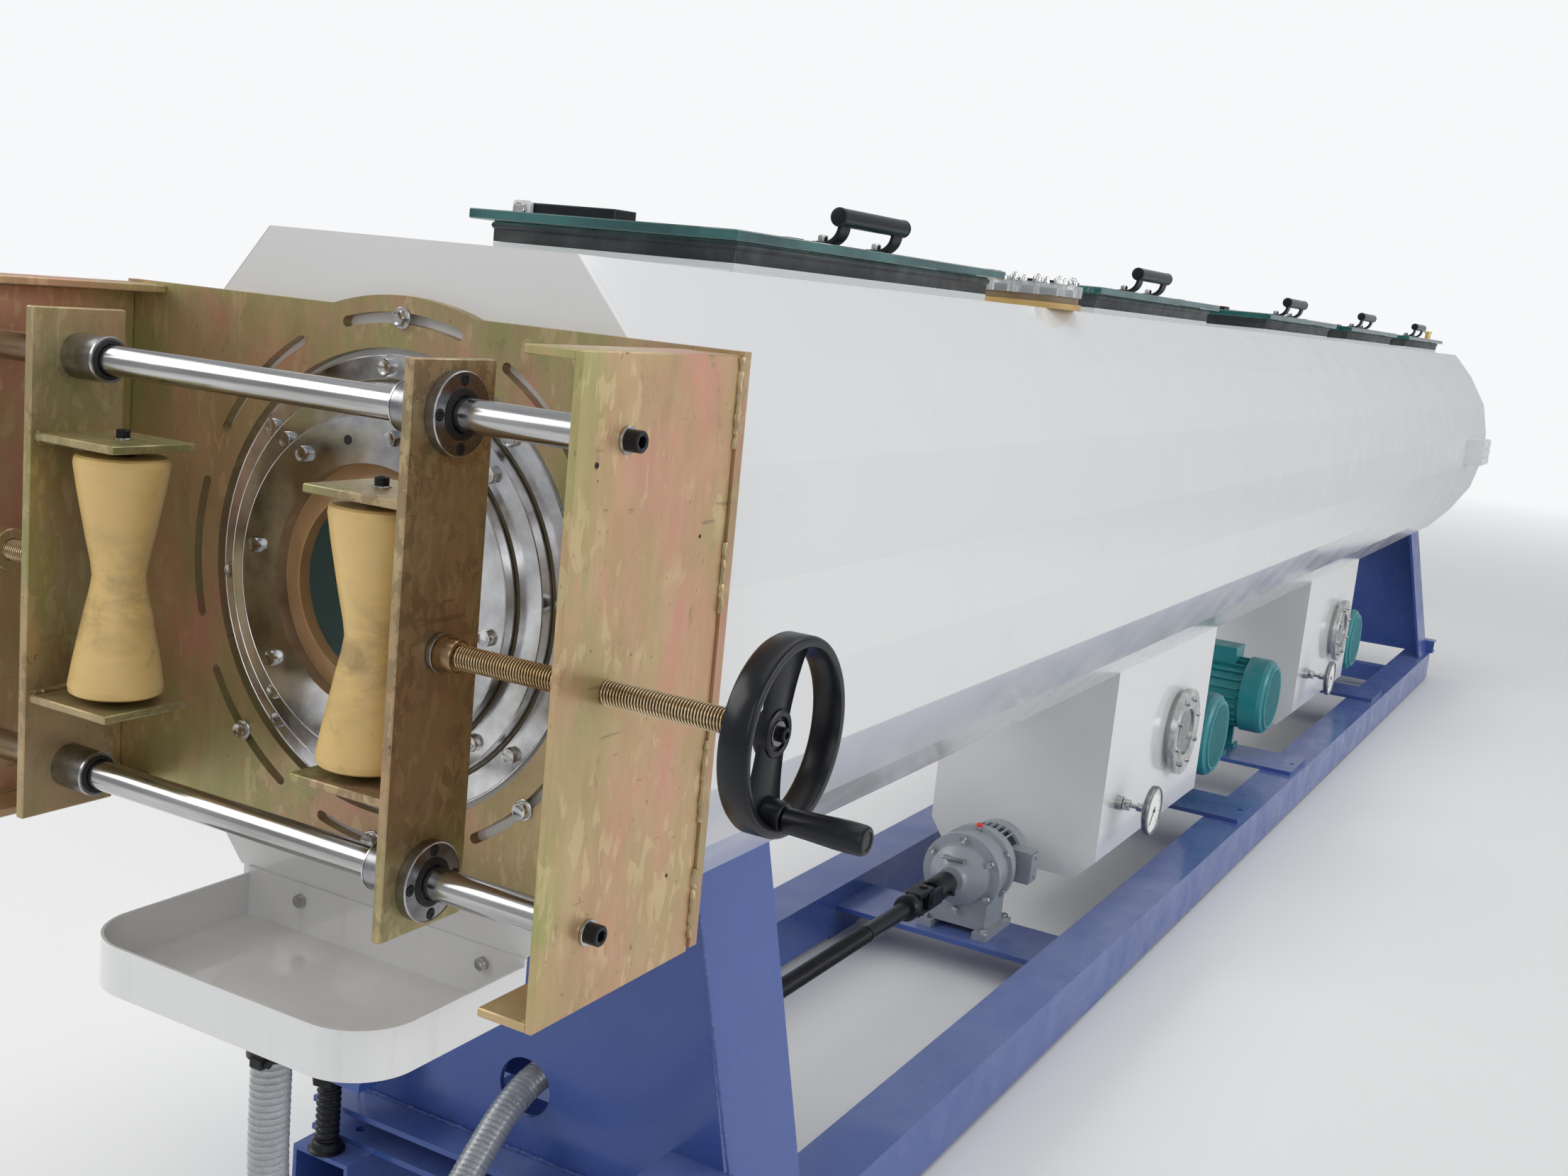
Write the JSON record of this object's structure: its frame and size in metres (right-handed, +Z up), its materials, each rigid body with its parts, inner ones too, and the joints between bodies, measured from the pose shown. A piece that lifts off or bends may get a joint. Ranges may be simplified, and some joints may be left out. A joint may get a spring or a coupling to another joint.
{
  "type": "plastic pipe spray cooling tank with centring clamp",
  "caption": "Vacuum and spray cooling tank of a plastic pipe extrusion line: folded trough with glass lids on a blue frame, and a zinc plated roller clamp that centres the pipe at its outlet",
  "frame": {"origin": "middle of the machine's bounding box on the floor", "axes": "+X along the pipe from the clamp at the outlet end to the inlet end, +Y to the far side, away from the sight glasses, +Z up"},
  "size_m": [6.216, 1.341, 1.372],
  "materials": {
    "white_paint": "glossy",
    "blue_paint": "glossy",
    "yellow_zinc": "satin",
    "bright_steel": "polished",
    "black_frame": "matte",
    "lid_pane": "glossy",
    "port_plastic": "glossy",
    "brown_rubber": "matte",
    "roller_plastic": "satin",
    "bronze": "satin",
    "black_plastic": "satin",
    "black_steel": "satin",
    "grey_paint": "satin",
    "teal_paint": "satin",
    "white_plastic": "satin",
    "clear_hose": "glossy",
    "brass_fitting": "satin"
  },
  "bodies": {
    "machine": {"tank_walls": "white_paint", "tank_top": "white_paint", "tank_floor": "white_paint", "outlet_end_plate": "white_paint", "inlet_end_plate": "white_paint", "lid_hinges": "white_paint", "port_base": "brown_rubber", "port_cover": "port_plastic", "outer_ring": "bright_steel", "middle_ring": "bright_steel", "seal_plate": "bright_steel", "rubber_seal": "brown_rubber", "face_plate": "yellow_zinc", "right_box": "yellow_zinc", "left_box": "yellow_zinc", "upper_shaft": "bright_steel", "lower_shaft": "bright_steel", "front_sump": "white_paint", "rear_sump": "white_paint", "front_sight_glass": "bright_steel", "rear_sight_glass": "bright_steel", "front_thermometer": "bright_steel", "rear_thermometer": "bright_steel", "near_beam": "blue_paint", "far_beam": "blue_paint", "cross_members": "blue_paint", "front_pedestal": "blue_paint", "rear_pedestal": "blue_paint", "jack_screws": "black_steel", "jack_brackets": "blue_paint", "gear_reducer": "grey_paint", "drive_motor": "grey_paint", "drive_spindle": "black_steel", "pump_motors": "teal_paint", "pump_casings": "bright_steel", "riser_pipes": "white_plastic", "drip_tray": "white_paint", "drain_hose": "clear_hose", "brass_valve": "brass_fitting", "junction_box": "white_plastic"},
    "right_carriage": {"right_carriage": "yellow_zinc", "right_bearings": "bright_steel"},
    "right_roller": {"right_roller": "roller_plastic"},
    "right_handwheel": {"right_screw": "bronze", "right_handwheel": "black_plastic"},
    "left_carriage": {"left_carriage": "yellow_zinc", "left_bearings": "bright_steel"},
    "left_roller": {"left_roller": "roller_plastic"},
    "left_handwheel": {"left_screw": "bronze", "left_handwheel": "black_plastic"},
    "lid_1": {"lid_1_frame": "black_frame", "lid_1_glass": "lid_pane"},
    "lid_2": {"lid_2_frame": "black_frame", "lid_2_glass": "lid_pane"},
    "lid_3": {"lid_3_frame": "black_frame", "lid_3_glass": "lid_pane"},
    "lid_4": {"lid_4_frame": "black_frame", "lid_4_glass": "lid_pane"},
    "lid_5": {"lid_5_frame": "black_frame", "lid_5_glass": "lid_pane"}
  },
  "joints": [
    {"name": "lid_1_hinge", "type": "hinge", "parent": "machine", "child": "lid_1", "pos_m": [-2.152, 0.191, 1.332], "axis": [-1, 0, 0], "range_deg": [0, 100]},
    {"name": "lid_2_hinge", "type": "hinge", "parent": "machine", "child": "lid_2", "pos_m": [-0.91804, 0.191, 1.332], "axis": [-1, 0, 0], "range_deg": [0, 100]},
    {"name": "lid_3_hinge", "type": "hinge", "parent": "machine", "child": "lid_3", "pos_m": [0.33581, 0.191, 1.332], "axis": [-1, 0, 0], "range_deg": [0, 100]},
    {"name": "lid_4_hinge", "type": "hinge", "parent": "machine", "child": "lid_4", "pos_m": [1.34286, 0.191, 1.332], "axis": [-1, 0, 0], "range_deg": [0, 100]},
    {"name": "lid_5_hinge", "type": "hinge", "parent": "machine", "child": "lid_5", "pos_m": [2.368, 0.191, 1.332], "axis": [-1, 0, 0], "range_deg": [0, 100]},
    {"name": "right_carriage_slide", "type": "slide", "parent": "machine", "child": "right_carriage", "axis": [0, 1, 0], "range_m": [-0.105, 0.085]},
    {"name": "right_roller_spin", "type": "hinge", "parent": "right_carriage", "child": "right_roller", "pos_m": [-3.028, -0.165, 0.926], "axis": [0, 0, 1], "continuous": true},
    {"name": "right_handwheel_turn", "type": "hinge", "parent": "right_carriage", "child": "right_handwheel", "pos_m": [-3.028, -0.585, 0.926], "axis": [0, 1, 0], "continuous": true},
    {"name": "left_carriage_slide", "type": "slide", "parent": "machine", "child": "left_carriage", "axis": [0, -1, 0], "range_m": [-0.05, 0.14]},
    {"name": "left_roller_spin", "type": "hinge", "parent": "left_carriage", "child": "left_roller", "pos_m": [-3.028, 0.165, 0.926], "axis": [0, 0, 1], "continuous": true},
    {"name": "left_handwheel_turn", "type": "hinge", "parent": "left_carriage", "child": "left_handwheel", "pos_m": [-3.028, 0.585, 0.926], "axis": [0, 1, 0], "continuous": true}
  ]
}
